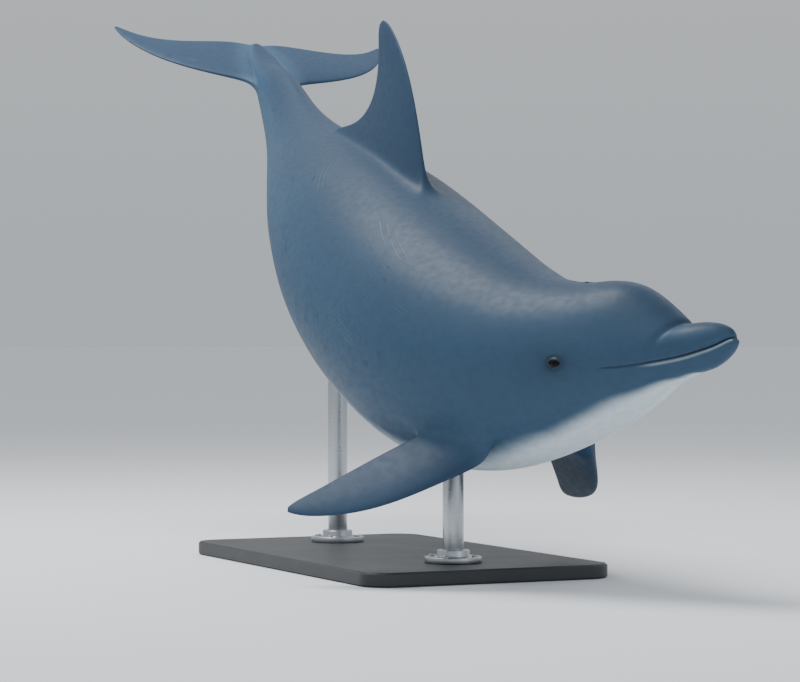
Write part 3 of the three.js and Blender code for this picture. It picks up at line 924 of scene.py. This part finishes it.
def brushed_steel(colours):
    """Stainless steel, turned and brushed: fine rings round each rod, half a
    millimetre apart, which soften its highlights.
    """
    material, tree, shader = new_material("Brushed stainless steel", Metallic=1)
    shader.inputs["Base Color"].default_value = tuple(colours.steel)
    stretched = add(tree, "Mapping", {
        "Vector": add(tree, "TexCoord", output="Object"), "Scale": (12, 12, 2000)})
    rings = add(tree, "TexNoise", {"Vector": stretched, "Scale": 1, "Detail": 2})
    add(tree, "MapRange", {"Value": rings, "From Min": 0.3, "From Max": 0.7,
                           "To Min": 0.27, "To Max": 0.33},
        to=shader.inputs["Roughness"], **SOFT)
    add(tree, "Bump", {"Height": rings, "Strength": 0.08, "Distance": 0.0001},
        to=shader.inputs["Normal"])
    return material


def moulded_rubber():
    """Moulded black rubber: matt, with a fine even grain from its mould."""
    material, tree, shader = new_material("Moulded rubber", Roughness=0.75, IOR=1.5)
    shader.inputs["Base Color"].default_value = linear("#1b1c1e")
    place = add(tree, "TexCoord", output="Object")
    grain = add(tree, "TexNoise", {"Vector": place, "Scale": 900, "Detail": 2})
    add(tree, "Bump", {"Height": grain, "Strength": 0.3, "Distance": 0.0003},
        to=shader.inputs["Normal"])
    return material


# ---- the eyes ----

def make_eye(side):
    """An eyeball with its cornea standing a little proud, marked from the pupil."""
    centre, forward, upward, outward = eye_frame(side)
    deselect()
    bpy.ops.mesh.primitive_uv_sphere_add(segments=40, ring_count=28, radius=1)
    obj = bpy.context.object
    unit = coordinates(obj)
    off_axis = np.degrees(np.arccos(np.clip(unit[:, 2], -1, 1)))
    radius = EYE_RADIUS + CORNEA_RISE * (1 - ramp(off_axis, 18, 42))
    straight = (centre + (unit[:, :1] * forward + unit[:, 1:2] * upward
                          + unit[:, 2:] * outward) * radius[:, None])
    obj.data.vertices.foreach_set("co", (bend(straight) * MM).ravel())
    oval = np.hypot(unit[:, 0] / 1.5, unit[:, 1]) * EYE_RADIUS
    store(obj, "from_pupil", np.where(unit[:, 2] > 0, oval, EYE_RADIUS))
    store(obj, "from_axis", off_axis / 90)
    face_outwards(obj)
    bpy.ops.object.shade_smooth()
    return obj


# ---- the stand ----

# The angle below which an edge is shaded smooth, and above which it is rounded.
SMOOTH_BELOW, ROUND_ABOVE = math.radians(35), math.radians(40)


def grow_level_face(obj, height, inset, rise):
    """Insets the level face at a height and draws it out along z."""
    edit_faces(obj)
    bm = bmesh.from_edit_mesh(obj.data)
    for face in bm.faces:
        off = face.calc_center_median().z + obj.location.z - height
        face.select_set(abs(face.normal.z) > 0.99 and abs(off) < 0.5 * MM)
    bmesh.update_edit_mesh(obj.data)
    bpy.ops.mesh.inset(thickness=inset)
    bpy.ops.mesh.extrude_region_move(TRANSFORM_OT_translate={"value": (0, 0, rise)})
    leave_edit()


def settle(obj):
    """Puts the piece's place and turn into its mesh."""
    make_active(obj)
    bpy.ops.object.transform_apply(location=True, rotation=True, scale=True)
    bpy.ops.object.shade_smooth_by_angle(angle=SMOOTH_BELOW)


def round_edges(obj, width, segments=3):
    """Rounds the sharp edges of a turned or moulded piece."""
    modify(obj, "BEVEL", width=width, segments=segments, limit_method="ANGLE",
           angle_limit=ROUND_ABOVE)


def upright(node):
    """Middle x and y, foot, top and radius of an upright round node."""
    low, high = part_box(node)
    x, y = ((low[i] + high[i]) / 2 for i in (0, 1))
    return x, y, low[2], high[2], (high[0] - low[0]) / 2


def turned_bar(x, y, foot, top, radius, sides=64):
    """An upright round bar, or one with a few flat sides."""
    deselect()
    bpy.ops.mesh.primitive_cylinder_add(
        vertices=sides, radius=radius, depth=top - foot, location=(x, y, (foot + top) / 2))
    return bpy.context.object


def make_rod(node):
    """A rod, its ends rounded off."""
    obj = turned_bar(*upright(node))
    round_edges(obj, 0.002)
    settle(obj)
    return obj


def make_flange(node, settings):
    """A turned disc with a raised hub that clamps the rod."""
    x, y, foot, top, radius = upright(node)
    obj = turned_bar(x, y, foot, top, radius)
    grow_level_face(obj, top, radius - settings.hub_radius, settings.hub_height)
    round_edges(obj, 0.0015)
    settle(obj)
    return obj


def make_screw(settings):
    """A button-head screw with a hexagon socket, standing at the origin."""
    radius, height = settings.screw_radius, settings.screw_radius * 0.6
    obj = turned_bar(0, 0, -0.001, height, radius)
    round_edges(obj, radius * 0.3, 4)
    socket = turned_bar(0, 0, height * 0.3, height * 1.3, radius * 0.5, sides=6)
    modify(obj, "BOOLEAN", operation="DIFFERENCE", object=socket)
    bpy.data.objects.remove(socket)
    settle(obj)
    return obj


def make_screws(node, settings):
    """Four screws round a flange: one screw, copied and joined."""
    x, y, _, top, radius = upright(node)
    ring = (radius + settings.hub_radius) / 2
    first = make_screw(settings)
    copies = []
    for turn in range(4):
        angle = math.radians(45 + 90 * turn)
        copy = first.copy()
        copy.data = first.data.copy()
        copy.data.transform(Matrix.Translation(
            (x + ring * math.cos(angle), y + ring * math.sin(angle), top)))
        bpy.context.collection.objects.link(copy)
        copies.append(copy)
    bpy.data.objects.remove(first)
    make_active(copies[0])
    for copy in copies[1:]:
        copy.select_set(True)
    bpy.ops.object.join()
    return bpy.context.object


def belly_above(x, y):
    """Where a rod at x, y meets the skin from below, and the skin's own normal."""
    heights = np.arange(40, 900, 1.0)
    column = np.stack([0 * heights + x / MM, 0 * heights + y / MM, heights], -1)
    first = int(np.argmax(outside(unbend(column)) < 0))
    meet = column[first]
    steps = np.concatenate([np.eye(3), -np.eye(3)]) * 4
    reach = outside(unbend(meet + steps))
    normal = reach[:3] - reach[3:]
    return Vector(meet * MM), Vector(normal).normalized()


def make_pad(node, settings):
    """A moulded rubber cup on top of the rod, lying along the belly."""
    meet, normal = belly_above(*upright(node)[:2])
    radius, height = settings.pad_radius, settings.pad_height
    obj = turned_bar(0, 0, -height / 2, height / 2, radius)
    grow_level_face(obj, -height / 2, radius * 0.22, -height * 0.4)
    round_edges(obj, 0.0025, 4)
    turn = (-normal).to_track_quat("Z", "Y").to_matrix().to_4x4()
    place = meet + normal * height * 0.25
    obj.data.transform(Matrix.Translation(place) @ turn)
    settle(obj)
    return obj


# ---- the stage ----

# The camera's frame: its heading turned this far from the line ahead, its axis
# this far from the middle of the body, and its distance.
CAMERA_TURN = 25.3
CAMERA_ASIDE, CAMERA_BELOW, CAMERA_FAR = 42.3, 74.8, 5718
FOCAL_PIXELS, PICTURE_WIDTH = 2686, 800
SENSOR = 36


def add_camera():
    """The camera, level and looking a little below the spine."""
    turn = math.radians(CAMERA_TURN)
    right = np.array([math.sin(turn), math.cos(turn), 0])
    toward = np.array([math.cos(turn), -math.sin(turn), 0])
    aim = spine_at(MID)[0] - right * CAMERA_ASIDE - np.array([0, 0, CAMERA_BELOW])
    data = bpy.data.cameras.new("camera")
    data.sensor_width = SENSOR
    data.lens = FOCAL_PIXELS / PICTURE_WIDTH * SENSOR
    camera = bpy.data.objects.new("camera", data)
    bpy.context.collection.objects.link(camera)
    camera.location = Vector((aim + toward * CAMERA_FAR) * MM)
    camera.rotation_euler = Vector(-toward).to_track_quat("-Z", "Y").to_euler()
    bpy.context.scene.camera = camera


def add_floor(settings):
    """A wide pale floor."""
    deselect()
    bpy.ops.mesh.primitive_plane_add(size=400)
    floor = bpy.context.object
    floor.name = "floor"
    material, _, shader = new_material("Studio floor", Roughness=0.9)
    shader.inputs["Base Color"].default_value = tuple(settings.floor)
    floor.data.materials.append(material)


def add_light(settings):
    """A soft even room, its horizon the floor's far tone, and three soft boxes."""
    world = bpy.data.worlds.new("studio")
    bpy.context.scene.world = world
    world.use_nodes = True
    tree = world.node_tree
    background = tree.nodes["Background"]
    background.inputs["Strength"].default_value = settings.room_light
    up = add(tree, "SeparateXYZ", {
        "Vector": add(tree, "TexCoord", output="Generated")}, output="Z")
    height = add(tree, "MapRange", {"Value": up, "From Max": 0.35}, **SOFT)
    add(tree, "Mix", {0: height, 6: linear("#d3d9de"), 7: linear("#f2f6fa")},
        to=background.inputs["Color"], **COLOUR)
    middle = Vector((0, 0, 0.6))
    for name, place, size, share, colour in (
            ("key", (-0.9, -1.3, 4.4), 2.8, 1, "#ffffff"),
            ("fill", (4.5, 1.5, 1.8), 3.0, 0.07, "#eaf3ff"),
            ("back", (-2.5, 3.0, 3.5), 2.5, 0.06, "#ffffff")):
        data = bpy.data.lights.new(name, "AREA")
        data.shape, data.size, data.energy = "DISK", size, settings.key_light * share
        data.color = linear(colour)[:3]
        lamp = bpy.data.objects.new(name, data)
        bpy.context.collection.objects.link(lamp)
        lamp.location = place
        lamp.rotation_euler = (middle - Vector(place)).to_track_quat("-Z", "Y").to_euler()


# ---- the add-on ----

def length_property(name, description, default, least):
    """A size that a user can change, in metres."""
    return FloatProperty(
        name=name, description=description, default=default, min=least, unit="LENGTH")


def colour_property(name, description, hex_colour):
    """A colour that a user can change."""
    return FloatVectorProperty(
        name=name, description=description, subtype="COLOR", size=4, min=0, max=1,
        default=linear(hex_colour))


class DolphinSkinSettings(bpy.types.PropertyGroup):
    mouth_depth: length_property("Mouth depth", "Depth of the groove between the lips", 0.004, 0)
    mouth_width: length_property("Mouth width", "Half width of the groove between the lips", 0.0016, 0.0005)
    lip_height: length_property("Lip height", "How far the lips stand proud", 0.0018, 0)
    eye_opening_length: length_property(
        "Eye opening length", "Length of the opening between the lids", 0.022, 0.005)
    eye_opening_height: length_property(
        "Eye opening height", "Height of the opening between the lids", 0.013, 0.003)


class DolphinColours(bpy.types.PropertyGroup):
    back: colour_property("Back", "Skin along the back", "#273d53")
    flank: colour_property("Flank", "Skin of the sides", "#365068")
    belly: colour_property("Belly", "Skin below", "#cfdce3")
    fins: colour_property("Fins", "Skin of the fins and flukes", "#2a4057")
    board: colour_property("Base", "Paint of the stand's base", "#2b2e31")
    steel: colour_property("Rods", "Steel of the stand's rods", "#b4b8bc")


class DolphinStandSettings(bpy.types.PropertyGroup):
    hub_radius: length_property("Hub radius", "Radius of the hub that clamps a rod", 0.034, 0.025)
    hub_height: length_property("Hub height", "Height of the hub above its flange", 0.014, 0.002)
    screw_radius: length_property("Screw radius", "Radius of a screw's head", 0.0065, 0.002)
    pad_radius: length_property("Pad radius", "Radius of the rubber cup under the belly", 0.03, 0.024)
    pad_height: length_property("Pad height", "Thickness of the rubber cup", 0.012, 0.004)


class DolphinStageSettings(bpy.types.PropertyGroup):
    floor: colour_property("Floor", "Colour of the floor", "#e2e5e8")
    key_light: FloatProperty(
        name="Key light", description="Power of the main light", default=260, min=0, unit="POWER")
    room_light: FloatProperty(
        name="Room light", description="Strength of the even light", default=0.75, min=0)


class DOLPHIN_OT_skin(bpy.types.Operator):
    """Builds the one skin of body, fins and flukes"""

    bl_idname = "dolphin.skin"
    bl_label = "Skin"

    def execute(self, context):
        scene = context.scene
        skin = make_skin(scene.dolphin_skin)
        finish_piece(skin, "skin", dolphin_skin(scene.dolphin_colours), "skin_back", *FLESH)
        return {"FINISHED"}


class DOLPHIN_OT_eyes(bpy.types.Operator):
    """Builds the two eyes"""

    bl_idname = "dolphin.eyes"
    bl_label = "Eyes"

    def execute(self, context):
        material = eye_material()
        for name, side in (("left", 1), ("right", -1)):
            finish_piece(make_eye(side), f"eyeball_{name}", material, "eyes", f"eye_{name}")
        return {"FINISHED"}


class DOLPHIN_OT_stand(bpy.types.Operator):
    """Builds the rods, flanges, screws and pads, and paints the base"""

    bl_idname = "dolphin.stand"
    bl_label = "Stand"

    def execute(self, context):
        scene = context.scene
        settings, colours = scene.dolphin_stand, scene.dolphin_colours
        steel, rubber = brushed_steel(colours), moulded_rubber()
        for end in ("front", "rear"):
            rod, flange = f"stand_rod_{end}", f"stand_flange_{end}"
            finish_piece(make_rod(rod), f"rod_{end}", steel, "stand_rods", rod)
            finish_piece(make_flange(flange, settings), f"flange_{end}", steel,
                         "stand_rods", flange)
            finish_piece(make_screws(flange, settings), f"screws_{end}", steel, "stand_rods")
            finish_piece(make_pad(rod, settings), f"pad_{end}", rubber, "stand_rods")
        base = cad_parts["stand_base"]
        base.data.materials.clear()
        base.data.materials.append(painted_board(colours))
        return {"FINISHED"}


class DOLPHIN_OT_stage(bpy.types.Operator):
    """Sets up the camera, floor and studio light"""

    bl_idname = "dolphin.stage"
    bl_label = "Stage"

    def execute(self, context):
        settings = context.scene.dolphin_stage
        add_camera()
        add_floor(settings)
        add_light(settings)
        return {"FINISHED"}


class DOLPHIN_PT_panel(bpy.types.Panel):
    """Lists the dolphin's pieces and settings"""

    bl_idname = "DOLPHIN_PT_panel"
    bl_label = "Dolphin"
    bl_space_type = "VIEW_3D"
    bl_region_type = "UI"
    bl_category = "Dolphin"

    def draw(self, context):
        scene = context.scene
        for group in (getattr(scene, name) for name in GROUPS):
            box = self.layout.box()
            for key in group.__annotations__:
                box.prop(group, key)
        for operator in OPERATORS:
            self.layout.operator(operator.bl_idname)


OPERATORS = (DOLPHIN_OT_stage, DOLPHIN_OT_skin, DOLPHIN_OT_eyes, DOLPHIN_OT_stand)
GROUPS = {
    "dolphin_skin": DolphinSkinSettings,
    "dolphin_colours": DolphinColours,
    "dolphin_stand": DolphinStandSettings,
    "dolphin_stage": DolphinStageSettings,
}


def register():
    for group in GROUPS.values():
        bpy.utils.register_class(group)
    for name, group in GROUPS.items():
        setattr(bpy.types.Scene, name, PointerProperty(type=group))
    for cls in (*OPERATORS, DOLPHIN_PT_panel):
        bpy.utils.register_class(cls)


def unregister():
    for cls in (DOLPHIN_PT_panel, *reversed(OPERATORS)):
        bpy.utils.unregister_class(cls)
    for name, group in GROUPS.items():
        delattr(bpy.types.Scene, name)
        bpy.utils.unregister_class(group)


def main():
    register()
    bpy.ops.dolphin.stage()
    bpy.ops.dolphin.skin()
    bpy.ops.dolphin.eyes()
    bpy.ops.dolphin.stand()


if __name__ == "__main__":
    main()
